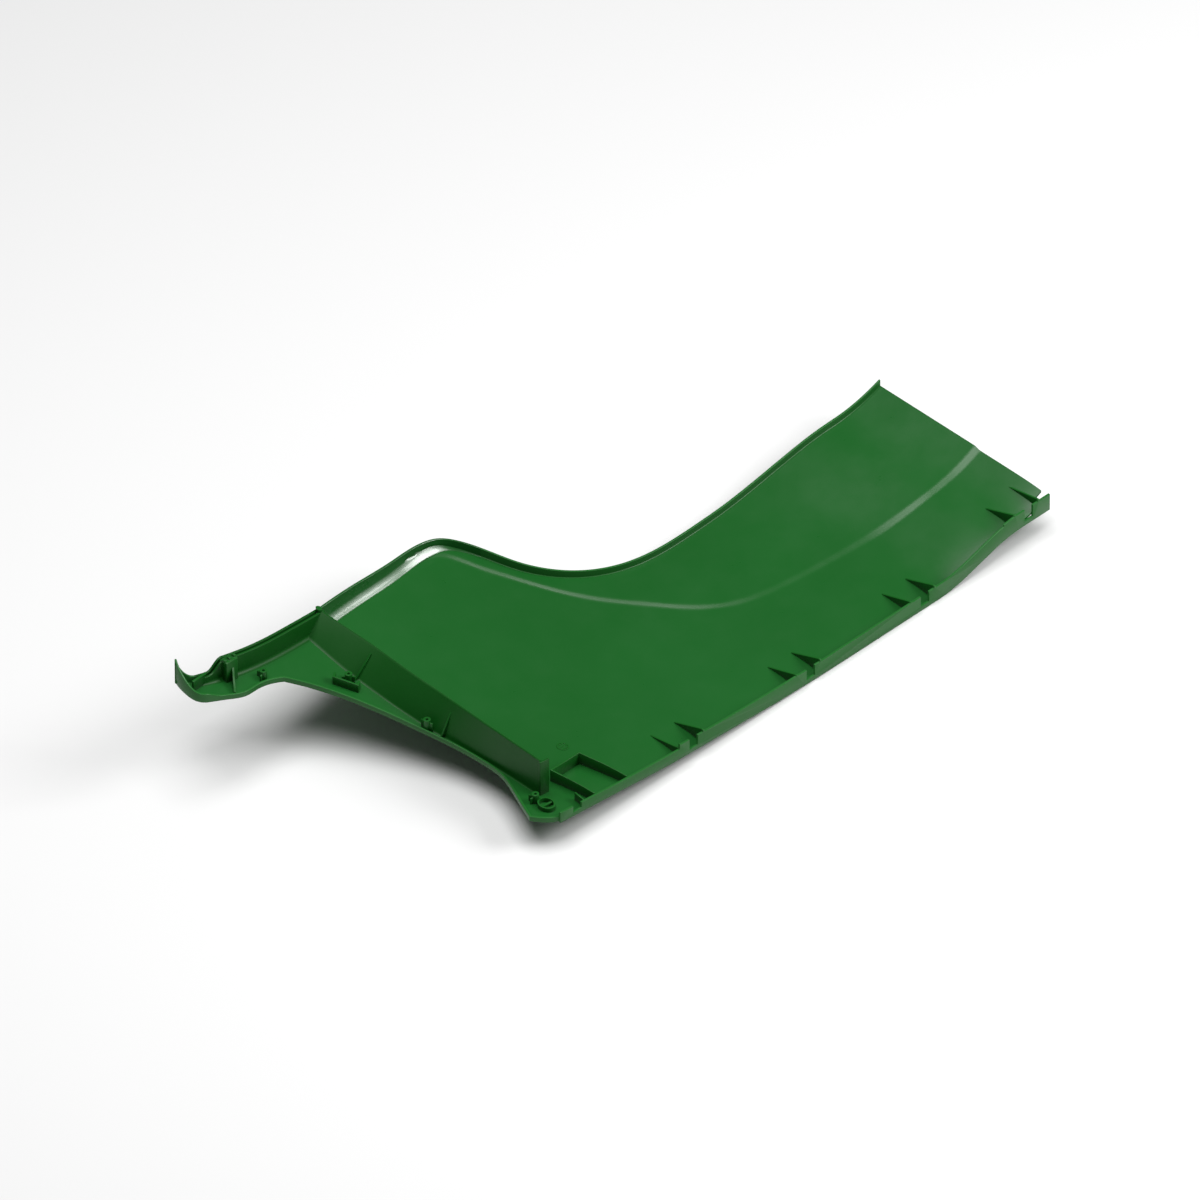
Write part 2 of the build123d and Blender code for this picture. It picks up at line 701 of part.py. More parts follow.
divider_run = divider_start[1] - divider_end[1]
with BuildSketch() as divider_plan:
    add(bar_plan(divider_start, divider_end, wall))
with BuildPart() as divider_build:
    add(standing(divider_plan.sketch, lambda x, y: divider_low + (divider_high - divider_low)
                 * min(max((y - divider_end[1]) / divider_run, 0.0), 1.0)))
    add(tower, mode=Mode.SUBTRACT)
    add(arm_lip, mode=Mode.SUBTRACT)
export(largest(divider_build.part), "arm_divider_wall")

with BuildSketch() as web_plan:
    add(bar_plan(web_start, web_end, wall))
with BuildPart() as web_build:
    add(standing(web_plan.sketch, lambda x, y: web_height))
    add(arm_rim, mode=Mode.SUBTRACT)
    add(horn_wall, mode=Mode.SUBTRACT)
export(largest(web_build.part), "horn_web")


# ---- stiffeners between the arm floor and the leaning face of the rib ----------------------------
def rib_line(along):
    """Foot X, top X and height of the rib at a place along Y."""
    for near, far in zip(rib_sections, rib_sections[1:]):
        if near[0] >= along >= far[0]:
            share = (near[0] - along) / (near[0] - far[0])
            return [near[i] + (far[i] - near[i]) * share for i in (1, 2, 3)]
    return list(rib_sections[-1][1:])


def stiffener(along):
    """Thin triangular fin on the lamp side of the rib."""
    foot, top, height = rib_line(along)
    floor = inner_height(foot, along)
    with BuildPart() as piece:
        with BuildSketch(Plane.XZ.offset(-along)):
            with BuildLine():
                tip_x = foot + (top - foot) * stiffener_share + wall / 2
                tip_z = floor + height * stiffener_share
                under = floor - skin
                toe_x = foot - stiffener_reach
                Polyline((toe_x, under), (tip_x, tip_z), (foot + wall / 2, under), close=True)
            make_face()
        extrude(amount=-gusset_thickness)
        add(below_inner, mode=Mode.SUBTRACT)
        add(cross_rib, mode=Mode.SUBTRACT)
        add(lamp_lip, mode=Mode.SUBTRACT)
    return largest(piece.part)


for label, along in stiffener_places.items():
    export(stiffener(along), f"rib_stiffener_{label}")

# ---- plain moulded mark: a ring with three bars --------------------------------------------------
with BuildSketch() as mark_plan:
    with Locations(mark_place):
        Circle(mark_radius)
        Circle(mark_radius - mark_line, mode=Mode.SUBTRACT)
    for step in (-1, 0, 1):
        half = math.sqrt((mark_radius - mark_line / 2) ** 2 - (4 * step) ** 2)
        row = mark_place[1] + 4 * step
        add(bar_plan((mark_place[0] - half, row), (mark_place[0] + half, row), mark_line))
moulded_mark = standing(mark_plan.sketch, lambda x, y: mark_height)
export(largest(moulded_mark), "moulded_mark")

# ---- frame: the origin lies under the middle of the panel, on the ground -------------------------
boxes = [piece.bounding_box() for piece in pieces.values()]
low_x, high_x = min(box.min.X for box in boxes), max(box.max.X for box in boxes)
low_y, high_y = min(box.min.Y for box in boxes), max(box.max.Y for box in boxes)
ground = min(box.min.Z for box in boxes)
frame_move = Location((-(low_x + high_x) / 2, -(low_y + high_y) / 2, -ground))
for name, piece in pieces.items():
    placed = piece.moved(frame_move)
    placed.label = name
    export_step(placed, f"parts/{name}.step")
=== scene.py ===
# %% [markdown]
# # A moulded side panel, finished in Blender
# The object is one green plastic moulding: the side of a small riding machine, lying on its outer
# face so that its ribs, screw bosses and joint flange show. The CAD model gives every size and
# place. Here it only gets its looks: soft edges, moulded fillets and a glossy plastic finish.

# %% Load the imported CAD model
import json
import math

import bmesh
import bpy
import numpy as np
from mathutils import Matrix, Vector
from mathutils.geometry import delaunay_2d_cdt


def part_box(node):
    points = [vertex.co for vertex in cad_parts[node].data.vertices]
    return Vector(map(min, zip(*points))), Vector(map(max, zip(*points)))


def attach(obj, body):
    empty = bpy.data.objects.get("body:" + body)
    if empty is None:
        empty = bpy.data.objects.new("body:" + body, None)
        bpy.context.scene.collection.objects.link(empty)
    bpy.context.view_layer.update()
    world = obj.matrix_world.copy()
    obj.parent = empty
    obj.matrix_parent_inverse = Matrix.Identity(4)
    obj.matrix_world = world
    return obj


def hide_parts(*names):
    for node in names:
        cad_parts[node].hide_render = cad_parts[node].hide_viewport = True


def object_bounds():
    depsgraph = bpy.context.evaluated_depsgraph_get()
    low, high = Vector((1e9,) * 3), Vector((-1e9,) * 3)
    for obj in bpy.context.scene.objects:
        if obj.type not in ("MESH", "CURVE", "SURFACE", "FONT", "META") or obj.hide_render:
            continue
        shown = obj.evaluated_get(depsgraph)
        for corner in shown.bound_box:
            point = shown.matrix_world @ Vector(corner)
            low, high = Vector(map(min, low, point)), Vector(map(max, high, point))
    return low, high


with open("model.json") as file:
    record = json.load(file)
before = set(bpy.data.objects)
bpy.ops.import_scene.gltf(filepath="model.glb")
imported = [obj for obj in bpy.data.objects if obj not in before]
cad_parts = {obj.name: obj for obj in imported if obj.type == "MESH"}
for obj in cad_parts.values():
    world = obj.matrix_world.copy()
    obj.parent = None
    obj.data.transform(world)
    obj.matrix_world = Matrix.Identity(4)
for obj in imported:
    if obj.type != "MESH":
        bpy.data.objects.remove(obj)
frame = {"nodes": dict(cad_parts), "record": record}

cad_low, cad_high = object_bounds()
bpy.ops.object.select_all(action="DESELECT")
print("CAD box", [round(v, 4) for v in cad_low], [round(v, 4) for v in cad_high])

# %% [markdown]
# ## The viewpoint
# The panel is seen from its lamp end, from 40 degrees above and with hardly any perspective. A very
# long lens far away does that. The camera comes first, because it decides which details matter.

# %% Camera
view_turn = math.radians(45)
view_lift = math.radians(40)
view_middle = Vector((0.0470, 0.0561, 0.0))
view_width = 1.32
lens = 900.0
camera_distance = view_width * lens / 36.0
towards_camera = Vector((-math.sin(view_turn) * math.cos(view_lift),
                         -math.cos(view_turn) * math.cos(view_lift), math.sin(view_lift)))

camera_data = bpy.data.cameras.new("viewpoint")
camera_data.lens = lens
camera_data.sensor_width = 36.0
camera_data.clip_end = 100.0
camera = bpy.data.objects.new("viewpoint", camera_data)
camera.location = view_middle + towards_camera * camera_distance
camera.rotation_euler = (-towards_camera).to_track_quat("-Z", "Y").to_euler()
bpy.context.collection.objects.link(camera)
bpy.context.scene.camera = camera
print("camera", round(camera_distance, 2), "m away")

# %% [markdown]
# ## A plain studio
# Glossy plastic shows what stands around it, so the lights are large soft panels. The top one makes
# the floor white and the key, to the right, throws the soft shadows of the gussets and the arm. A
# third panel is only there for its reflection: the sloped strip beside the rim mirrors it as a
# bright line.

# %% Floor, world and lights
scene = bpy.context.scene
scene.view_settings.view_transform = "Standard"

bpy.ops.mesh.primitive_plane_add(size=16.0, location=(0, 0, -0.0005))
floor = bpy.context.object
floor.name = "studio_floor"
floor_paint = bpy.data.materials.new("floor_paint")
floor_paint.use_nodes = True
floor_shader = floor_paint.node_tree.nodes["Principled BSDF"]
floor_shader.inputs["Base Color"].default_value = (0.68, 0.68, 0.68, 1)
floor_shader.inputs["Roughness"].default_value = 0.9
floor_shader.inputs["Specular IOR Level"].default_value = 0.1
floor.data.materials.append(floor_paint)

world = bpy.data.worlds.new("studio_air")
world.use_nodes = True
world.node_tree.nodes["Background"].inputs["Color"].default_value = (1.0, 1.0, 1.0, 1)
world.node_tree.nodes["Background"].inputs["Strength"].default_value = 0.10
scene.world = world


def softbox(name, direction, distance, size, power, gloss_only=False):
    """A square area light that looks at the panel from the given direction."""
    data = bpy.data.lights.new(name, "AREA")
    data.shape = "SQUARE"
    data.size = size
    data.energy = power
    lamp = bpy.data.objects.new(name, data)
    way = Vector(direction).normalized()
    lamp.location = Vector((0.0, 0.0, 0.05)) + way * distance
    lamp.rotation_euler = (-way).to_track_quat("-Z", "Y").to_euler()
    lamp.visible_diffuse = not gloss_only
    bpy.context.collection.objects.link(lamp)
    return lamp


softbox("top_panel", (-0.12, 0.02, 1.0), 4.0, 3.0, 196.0)
softbox("side_key", (0.53, -0.57, 0.62), 3.4, 1.7, 92.0)
rim_mirror = softbox("rim_mirror", (0.73, -0.53, 0.43), 2.6, 0.9, 72.0, gloss_only=True)

# %% [markdown]
# ## The dish in numbers
# The skin is a shallow dish. Its height over the floor is a sum of a few plain bends, the same ones
# that shape the CAD solids, so a Blender piece built on these functions meets the others exactly.
# Lengths here are in millimetres, as on a drawing, and become metres when a mesh is made.

# %% The dish as height functions
panel_length = 762.0
skin_end = 760.0
skin = 2.8
wall = 2.5
millimetre = 0.001


lamp_lift, lamp_lift_run = 31.0, 470.0
flare_lift, flare_start, flare_run = 26.0, 590.0, 125.0
arm_slope, slope_start, slope_run = 0.10, -150.0, 560.0
sweep_start, sweep_run, sweep_width = 500.0, 260.0, 240.0
edge_roll, edge_reach = 4.0, 15.0
dish_depth, dish_middle, dish_reach = 4.0, 140.0, 70.0
crown_rise, level_start, level_run = 6.0, 640.0, 110.0
end_lift, end_start, end_run = 16.7, 690.0, 70.0
low_rise, extra_rise, saddle_rise = 10.5, 14.5, 9.0


def ease(t):
    """0 to 1 with a level start and finish."""
    t = min(max(t, 0.0), 1.0)
    return t * t * (3 - 2 * t)


def base_height(x):
    """Height of the joint flange's lower edge."""
    lamp_end = lamp_lift * max((lamp_lift_run - x) / lamp_lift_run, 0.0) ** 2
    return lamp_end + flare_lift * ease((x - flare_start) / flare_run)


def cross_slope(x):
    """Slope across the panel: steep at the arm, level from the belly on."""
    return arm_slope * (1 - ease((x - slope_start) / slope_run))


def rim_sweep(x, y):
    """Beside the rim the sweep up to the plain end is longer and gentler than at the flange."""
    gentle = ease((x - sweep_start) / sweep_run)
    return flare_lift * (gentle - ease((x - flare_start) / flare_run)) * ease(y / sweep_width)


def inner_height(x, y):
    """Height of the skin's inner face."""
    y = max(y, 0.0)
    curved = 1 - ease((x - level_start) / level_run)
    z = base_height(x) + skin + edge_roll * (1 - math.exp(-y / edge_reach))
    z -= curved * dish_depth * math.exp(-(((y - dish_middle) / dish_reach) ** 2))
    z += curved * crown_rise * (max(y - dish_middle, 0.0) / dish_middle) ** 2
    z += cross_slope(x) * y * y / (y + 40.0) + rim_sweep(x, y)
    return z + end_lift * max((x - end_start) / end_run, 0.0) ** 2


def rim_rise(x):
    """Height of the rim over the skin."""
    return low_rise + extra_rise * (1 - ease((x + 60.0) / 440.0))


def arm_rim_rise(x):
    """The arm's rim is full height up to the latch tower, then drops to a saddle."""
    return saddle_rise + (rim_rise(x) - saddle_rise) * ease((x + 172.0) / 20.0)


flange_low, flange_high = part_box("lower_flange")
drawing_start = Vector((flange_low[0], flange_low[1], cad_low[2])) / millimetre
ground_sink = 0.131


def place(x, y, z):
    """A point of the drawing, which starts at the flange's lamp end, as a place in the scene."""
    start = drawing_start
    return Vector((x + start.x, y + start.y, z + start.z + ground_sink)) * millimetre


print("the drawing starts at", [round(v, 2) for v in drawing_start], "mm")

# %% [markdown]
# ## Smooth lines in plan
# The outline, the rim and the style line are smooth curves through a few points. A cubic spline
# gives the same line as the CAD model: it is solved here as a small set of equations.

# %% A cubic spline through points


def end_slope(t, p):
    """Slope at the first point of the parabola through the first three."""
    a = (p[1] - p[0]) / (t[1] - t[0])
    b = (p[2] - p[1]) / (t[2] - t[1])
    return a - (b - a) * (t[1] - t[0]) / (t[2] - t[0])


def smooth_line(points, spacing=4.0):
    """Evenly placed plan points along the smooth curve through the given ones."""
    p = np.array(points, float)
    t = np.concatenate([[0.0], np.cumsum(np.linalg.norm(np.diff(p, axis=0), axis=1))])
    n = len(p)
    gap = np.diff(t)
    rows = np.zeros((n, n))
    right = np.zeros((n, 2))
    rows[0, 0] = rows[-1, -1] = 1.0
    if n > 2:
        right[0] = end_slope(t, p)
        right[-1] = -end_slope(-t[::-1], p[::-1])
    else:
        right[:] = (p[1] - p[0]) / gap[0]
    for i in range(1, n - 1):
        rows[i, i - 1:i + 2] = gap[i], 2 * (gap[i - 1] + gap[i]), gap[i - 1]
        right[i] = 3 * (gap[i] * (p[i] - p[i - 1]) / gap[i - 1]
                        + gap[i - 1] * (p[i + 1] - p[i]) / gap[i])
    slope = np.linalg.solve(rows, right)
    line = []
    for i in range(n - 1):
        count = max(int(round(gap[i] / spacing)), 1)
        for k in range(count + (i == n - 2)):
            u = k / count
            line.append((2 * u**3 - 3 * u**2 + 1) * p[i]
                        + (u**3 - 2 * u**2 + u) * gap[i] * slope[i]
                        + (3 * u**2 - 2 * u**3) * p[i + 1]
                        + (u**3 - u**2) * gap[i] * slope[i + 1])
    return np.array(line)


# %% The lines of the panel, in millimetres from the flange's lamp end
rim_points = [(skin_end, 263), (700, 266), (610, 267), (460, 262), (373, 268), (317, 291),
              (272, 337), (241, 393), (221, 410), (194, 413.5), (140, 405), (66, 393), (8, 382)]
arm_points = [(8, 382), (-46, 375.5), (-112, 371.5), (-160, 374.5), (-188, 378)]
horn_tip = (-206, 389)
arm_end_points = [horn_tip, (-209, 369), (-206, 356), (-197, 349)]
arm_edge_points = [(-197, 349), (-173, 342), (-149, 336), (-127, 338), (-109, 337),
                   (-94, 333)]
lamp_points = [(-94, 333), (-70, 305.5), (-36, 245), (-14, 190), (-2.5, 154), (2, 125),
               (2, 97), (-5, 74), (-17, 47), (-28, 20)]
lobe_points = [(-28, 20), (-16, 9.5), (0, wall)]
style_points = [(150, 400.5), (180, 405), (201, 406.5), (216, 402), (227, 389), (238, 368), (258, 334),
                (283, 292), (312, 252), (349, 213), (389, 174), (428, 151), (481, 139), (545, 131),
                (620, 122), (690, 114), (skin_end, 113)]
print("rim line", len(smooth_line(rim_points)), "points")

# %% [markdown]
# ## Moulded plastic
# The finish is one glossy green, coloured right through. Real mouldings are never one flat colour:
# the gloss wanders a little where the melt cooled unevenly, very fine orange peel breaks up the
# reflections, and dust and fine rubbing dull some patches. All patterns use Object coordinates.
# The skin has the green itself; the lighter and darker copies on the walls, rim, rib and fittings are
# painted light and painted shade.

# %% The plastic material


def moulded_plastic(name, colour, pale, gloss, peel, shine=0.5, coat=0.0):
    """Glossy moulded plastic: slow colour drift, uneven gloss and fine orange peel."""
    material = bpy.data.materials.new(name)
    material.use_nodes = True
    nodes, links = material.node_tree.nodes, material.node_tree.links
    shader = nodes["Principled BSDF"]
    shader.inputs["IOR"].default_value = 1.46
    shader.inputs["Specular IOR Level"].default_value = shine
    shader.inputs["Coat Weight"].default_value = coat
    shader.inputs["Coat Roughness"].default_value = 0.08
    coords = nodes.new("ShaderNodeTexCoord")

    drift = nodes.new("ShaderNodeTexNoise")
    drift.inputs["Scale"].default_value = 3.2
    drift.inputs["Detail"].default_value = 3.0
    links.new(coords.outputs["Object"], drift.inputs["Vector"])
    shades = nodes.new("ShaderNodeValToRGB")
    shades.color_ramp.elements[0].position = 0.35
    shades.color_ramp.elements[0].color = (*colour, 1)
    shades.color_ramp.elements[1].position = 0.75
    shades.color_ramp.elements[1].color = (*pale, 1)
    links.new(drift.outputs["Fac"], shades.inputs["Fac"])
    links.new(shades.outputs["Color"], shader.inputs["Base Color"])

    wear = nodes.new("ShaderNodeTexNoise")
    wear.inputs["Scale"].default_value = 26.0
    wear.inputs["Detail"].default_value = 6.0
    wear.inputs["Roughness"].default_value = 0.62
    links.new(coords.outputs["Object"], wear.inputs["Vector"])
    polish = nodes.new("ShaderNodeMapRange")
    polish.inputs["From Min"].default_value = 0.3
    polish.inputs["From Max"].default_value = 0.8
    polish.inputs["To Min"].default_value = gloss
    polish.inputs["To Max"].default_value = gloss + 0.13
    links.new(wear.outputs["Fac"], polish.inputs["Value"])
    links.new(polish.outputs["Result"], shader.inputs["Roughness"])

    skin_noise = nodes.new("ShaderNodeTexNoise")
    skin_noise.inputs["Scale"].default_value = 420.0
    skin_noise.inputs["Detail"].default_value = 2.0
    links.new(coords.outputs["Object"], skin_noise.inputs["Vector"])
    bump = nodes.new("ShaderNodeBump")
    bump.inputs["Strength"].default_value = peel
    bump.inputs["Distance"].default_value = 0.0002
    links.new(skin_noise.outputs["Fac"], bump.inputs["Height"])
    links.new(bump.outputs["Normal"], shader.inputs["Normal"])
    return material


skin_green = moulded_plastic("skin_green", (0.0060, 0.077, 0.0105), (0.0082, 0.089, 0.0138),
                             gloss=0.27, peel=0.10, shine=0.36)
# A darker copy of the skin's green for the peak rim: painted shade on its inner wall. Its coat is a
# real gloss layer.
rim_green_painted_shade = moulded_plastic("rim_green_painted_shade", (0.0045, 0.070, 0.0080), (0.0062, 0.080, 0.0105),
                            gloss=0.24, peel=0.03, shine=0.5, coat=0.15)
# A lighter copy of the skin's green for the flange, low rim and lips: painted light on faces turned to
# the lamps.
wall_green_painted_light = moulded_plastic("wall_green_painted_light", (0.0110, 0.098, 0.0150), (0.0140, 0.112, 0.0185),
                             gloss=0.32, peel=0.12, shine=0.25)
# A darker copy of the skin's green for the rib, the arm's channel and the corner return wall: painted
# shade.
rib_green_painted_shade = moulded_plastic("rib_green_painted_shade", (0.0030, 0.058, 0.0050), (0.0040, 0.066, 0.0062),
                            gloss=0.36, peel=0.14, shine=0.20)
# A slightly darker copy of the skin's green for bosses, gussets and other fittings: painted shade.
fitting_green_painted_shade = moulded_plastic("fitting_green_painted_shade", (0.0045, 0.076, 0.0075), (0.0062, 0.086, 0.0095),
                                gloss=0.34, peel=0.14, shine=0.25)
# The skin slot gets the real green; the walls slot the lighter copy (painted light), the fittings slot
# a darker one (painted shade).
finish_and_painted_light_of_slot = {"panel_skin": skin_green, "panel_walls": wall_green_painted_light,
                  "panel_fittings": fitting_green_painted_shade}
for part in frame["record"]["subparts"]:
    node = frame["nodes"][part["node"]]
    node.data.materials.clear()
    node.data.materials.append(finish_and_painted_light_of_slot[part["material_slot"]])
print("greens", [m.name for m in (skin_green, rim_green_painted_shade, wall_green_painted_light, rib_green_painted_shade, fitting_green_painted_shade)])

# %% [markdown]
# ## Turning a mesh into a piece
# Every shape below is built point by point and then finished the same way: its normals are made
# consistent, flat shading stays only at sharp edges, and the piece rides on the panel's one body.

# %% Finish a mesh as a piece of the panel


def make_piece(name, mesh_edit, finish, replaced, smooth_angle=35.0):
    """Turn a bmesh into a finished piece that rides on the panel."""
    bmesh.ops.recalc_face_normals(mesh_edit, faces=mesh_edit.faces)
    mesh = bpy.data.meshes.new(name)
    mesh_edit.to_mesh(mesh)
    mesh_edit.free()
    piece = bpy.data.objects.new(name, mesh)
    bpy.context.collection.objects.link(piece)
    mesh.materials.append(finish)
    bpy.ops.object.select_all(action="DESELECT")
    piece.select_set(True)
    bpy.context.view_layer.objects.active = piece
    bpy.ops.object.shade_smooth_by_angle(angle=math.radians(smooth_angle))
    piece.select_set(False)
    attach(piece, "root")
    if replaced:
        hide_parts(*replaced)
    print(name, len(mesh.polygons), "faces")
    return piece


# %% [markdown]
# ## The shell
# Skin, shoulder and arm floor are one dished sheet on the real moulding. Along the style line the
# shoulder steps up by a little more than two millimetres. The step is eased, so that it catches the
# light as a soft line.

# %% The step along the style line
style_line = smooth_line(style_points, 4.0)
style_ahead = np.gradient(style_line, axis=0)
style_side = np.stack([-style_ahead[:, 1], style_ahead[:, 0]], axis=1)
style_side /= np.linalg.norm(style_side, axis=1)[:, None]
shoulder_rise = 2.4
step_run = 7.5
step_fade_start, step_fade_run = 150.0, 60.0


def over_style_line(x, y):
    """Distance past the style line towards the rim, in millimetres."""
    gaps = np.array([x, y]) - style_line
    nearest = int(np.argmin(np.hypot(gaps[:, 0], gaps[:, 1])))
    return float(gaps[nearest] @ style_side[nearest])


def skin_height(x, y):
    """Inner face with the shoulder's soft step added."""
    rise = shoulder_rise * ease((x - step_fade_start) / step_fade_run)
    return inner_height(x, y) + rise * ease(over_style_line(x, y) / step_run + 0.9)


print("step", round(skin_height(500, 200) - inner_height(500, 200), 2), "mm high")

# %% [markdown]
# One sheet keeps the reflections smooth, where pieces side by side would show their seams. Its edge
# follows the panel's outline, tucked a little way under the walls, so that no two faces lie on top
# of each other and flicker.

# %% The outline of the sheet
slot_start, slot_top = 749.0, 11.5
outline = [(0.0, wall), (slot_start, wall), (slot_start, slot_top), (skin_end, slot_top)]
for stretch in (rim_points, arm_points, [arm_points[-1], horn_tip], arm_end_points,
                arm_edge_points, lamp_points, lobe_points):
    outline += [tuple(p) for p in smooth_line(stretch, 5.0)[:-1]]
loop = [outline[0]]
for corner in outline[1:]:
    start = loop[-1]
    count = int(math.dist(corner, start) / 6.0) + 1
    loop += [(start[0] + (corner[0] - start[0]) * k / count,
              start[1] + (corner[1] - start[1]) * k / count) for k in range(1, count + 1)]

tuck = 0.4
ring = np.array(loop)
ring_ahead = np.roll(ring, -1, axis=0) - np.roll(ring, 1, axis=0)
ring_ahead /= np.linalg.norm(ring_ahead, axis=1)[:, None]
under_wall = (ring[:, 1] > slot_top + 0.1) & (ring[:, 0] < skin_end - 0.1)
ring[under_wall] += tuck * np.stack([-ring_ahead[:, 1], ring_ahead[:, 0]], axis=1)[under_wall]
loop = [tuple(p) for p in ring]
loop_array = np.array(loop)
print("outline", len(loop), "points")

# %% [markdown]
# The plan is filled with even triangles, with closer rows of points along the style line where the
# height changes fast. Then it is lifted to the dish's height and doubled downwards.

# %% Fill the outline, lift it and give it thickness
sheet_step = 6.0
row_pitch = sheet_step * 0.98
edge_clear = 2.5
step_offsets = (-9.0, -6.5, -4.0, -1.5, 1.0, 3.5)
step_rows = [tuple(p + side * offset) for offset in step_offsets
             for p, side in zip(style_line, style_side)]
grid = [(column * sheet_step + (row % 2) * sheet_step / 2, wall + row * row_pitch)
        for row in range(1, 70) for column in range(-36, 128)]


def clear_of(points, x, y, room):
    """True where a plan point keeps its distance from all the given ones."""
    return np.min(np.hypot(points[:, 0] - x, points[:, 1] - y)) > room


step_rows = [p for p in step_rows if clear_of(loop_array, *p, edge_clear)]
step_array = np.array(step_rows)
grid = [p for p in grid
        if clear_of(loop_array, *p, edge_clear) and clear_of(step_array, *p, edge_clear)]
filled = delaunay_2d_cdt([Vector(p) for p in loop + step_rows + grid], [],
                         [list(range(len(loop)))], 1, 1e-4)
sheet_edit = bmesh.new()
upper = [sheet_edit.verts.new(place(p.x, p.y, skin_height(p.x, p.y))) for p in filled[0]]
lower = [sheet_edit.verts.new(v.co - Vector((0, 0, skin * millimetre))) for v in upper]
for face in filled[2]:
    sheet_edit.faces.new([upper[i] for i in face])
    sheet_edit.faces.new([lower[i] for i in reversed(face)])
upper_set = set(upper)
partner = dict(zip(upper, lower))
for edge in [e for e in sheet_edit.edges if len(e.link_faces) == 1 and e.verts[0] in upper_set]:
    a, b = edge.verts
    sheet_edit.faces.new((a, b, partner[b], partner[a]))
loose = [v for v in sheet_edit.verts if not v.link_faces]
bmesh.ops.delete(sheet_edit, geom=loose, context="VERTS")
make_piece("panel_shell", sheet_edit, skin_green,
           ["side_skin", "end_flare", "shoulder_skin", "peak_skin", "arm_floor", "style_ridge"],
           smooth_angle=50.0)

# %% [markdown]
# ## Walls that follow a line
# The rim, the arm's channel, the hooked tip and the lips are all the same idea: a section that runs
# along a line in plan. A moulder rounds the top edges by half a millimetre and fillets the foot, so
# the section has those radii drawn in. Beside the peak the foot is a wide sloped strip, and the
# bright line of the real panel lives there.

# %% Run a section along a line


def run_section(name, line, section, finish, replaced):
    """Closed section(x, y) -> [(distance inwards, height over the skin)] carried along a plan line."""
    ahead = np.gradient(line, axis=0)
    side = np.stack([-ahead[:, 1], ahead[:, 0]], axis=1)
    side /= np.linalg.norm(side, axis=1)[:, None]
    edit = bmesh.new()
    rows = []
    for point, way in zip(line, side):
        row = []
        for offset, height in section(*point):
            x, y = point + way * offset
            row.append(edit.verts.new(place(x, y, inner_height(x, y) + height)))
        rows.append(row)
    count = len(rows[0])
    for near, far in zip(rows, rows[1:]):
        for i in range(count):
            k = (i + 1) % count
            edit.faces.new((near[i], near[k], far[k], far[i]))
    edit.faces.new(rows[0])
    edit.faces.new(list(reversed(rows[-1])))
    return make_piece(name, edit, finish, replaced)


def arc(centre, radius, start, end, steps=4):
    """Points of an arc in a section, angles in degrees."""
    return [(centre[0] + radius * math.cos(math.radians(start + (end - start) * k / steps)),
             centre[1] + radius * math.sin(math.radians(start + (end - start) * k / steps)))
            for k in range(steps + 1)]


def foot_curve(width, foot, flatness=0.0):
    """The fillet at a wall's foot: a quarter round, or nearly a straight slope."""
    points = []
    for k in range(foot_steps + 1):
        turn = math.radians(90 * k / foot_steps)
        round_x, round_z = 1 - math.cos(turn), 1 - math.sin(turn)
        flat_x, flat_z = k / foot_steps, 1 - k / foot_steps
        points.append((width + foot * (round_x + (flat_x - round_x) * flatness),
                       foot * (round_z + (flat_z - round_z) * flatness)))
    return points


edge_round = 0.7
foot_steps = 6
wall_bottom = 0.15 - skin


def wall_section(width, height, foot, flatness=0.0):
    """Upright wall with a rounded top, a filleted or sloped foot and a softened bottom edge."""
    section = arc((edge_round, wall_bottom + edge_round), edge_round, 270, 180, 3)
    section += arc((edge_round, height - edge_round), edge_round, 180, 90, 3)
    section += arc((width - edge_round, height - edge_round), edge_round, 90, 0, 3)
    section += foot_curve(width, foot, flatness)
    return section + [(width + foot + 0.2, -0.5), (width, wall_bottom + 0.3)]


def rim_foot(x):
    """The foot is a wide strip beside the peak and a small fillet along the plain end."""
    return 0.8 + 6.7 * (1 - ease((x - 200.0) / 60.0))


def rim_section(x, y):
    """The rim wall, whose foot stands on the shoulder's step."""
    lift = shoulder_rise * ease((x - step_fade_start) / step_fade_run)
    section = wall_section(wall, rim_rise(x), rim_foot(x), flatness=0.75)
    return [(a, b + lift * (a > wall + 0.01)) for a, b in section]


peak_start = 252.0
rim_line = smooth_line(rim_points, 4.0)
peak_from = int(np.argmax(rim_line[:, 0] < peak_start))
run_section("low_rim", rim_line[:peak_from + 1], rim_section, wall_green_painted_light,
            ["rim_wall"])
peak_rim = run_section("peak_rim", rim_line[peak_from:], rim_section, rim_green_painted_shade,
                       ["rim_fillet"])
mirrored_in = bpy.data.collections.new("mirrored_in")
mirrored_in.objects.link(peak_rim)
rim_mirror.light_linking.receiver_collection = mirrored_in

# %% [markdown]
# ## The arm's channel, tip and lips
# The arm's rim is wide enough for a groove that takes the edge of the mating cover. The section
# dips into the groove and out again. The tip is a thin wall that climbs to a hook.

# %% The arm's rim with its groove


def channel_section(x, y):
    """Wide rim with a groove along its top."""
    width, height, groove, depth = 7.5, arm_rim_rise(x), 2.6, 5.5
    left, right = (width - groove) / 2, (width + groove) / 2
    r = 0.5
    section = arc((r, wall_bottom + r), r, 270, 180, 3) + arc((r, height - r), r, 180, 90, 3)
    section += arc((left - r, height - r), r, 90, 0, 3)
    section += [(left, height - depth), (right, height - depth)]
    section += arc((right + r, height - r), r, 180, 90, 3)
    section += arc((width - r, height - r), r, 90, 0, 3)
    foot = 3.0 * ease((x + 190.0) / 30.0) + 1.5
    section += foot_curve(width, foot)
    return section + [(width + foot + 0.2, -0.5), (width, wall_bottom + 0.3)]


arm_line = smooth_line(arm_points, 4.0)
run_section("arm_rim_moulded", arm_line, channel_section, rib_green_painted_shade,
            ["arm_rim_channel"])

# %% The hooked tip and the lips


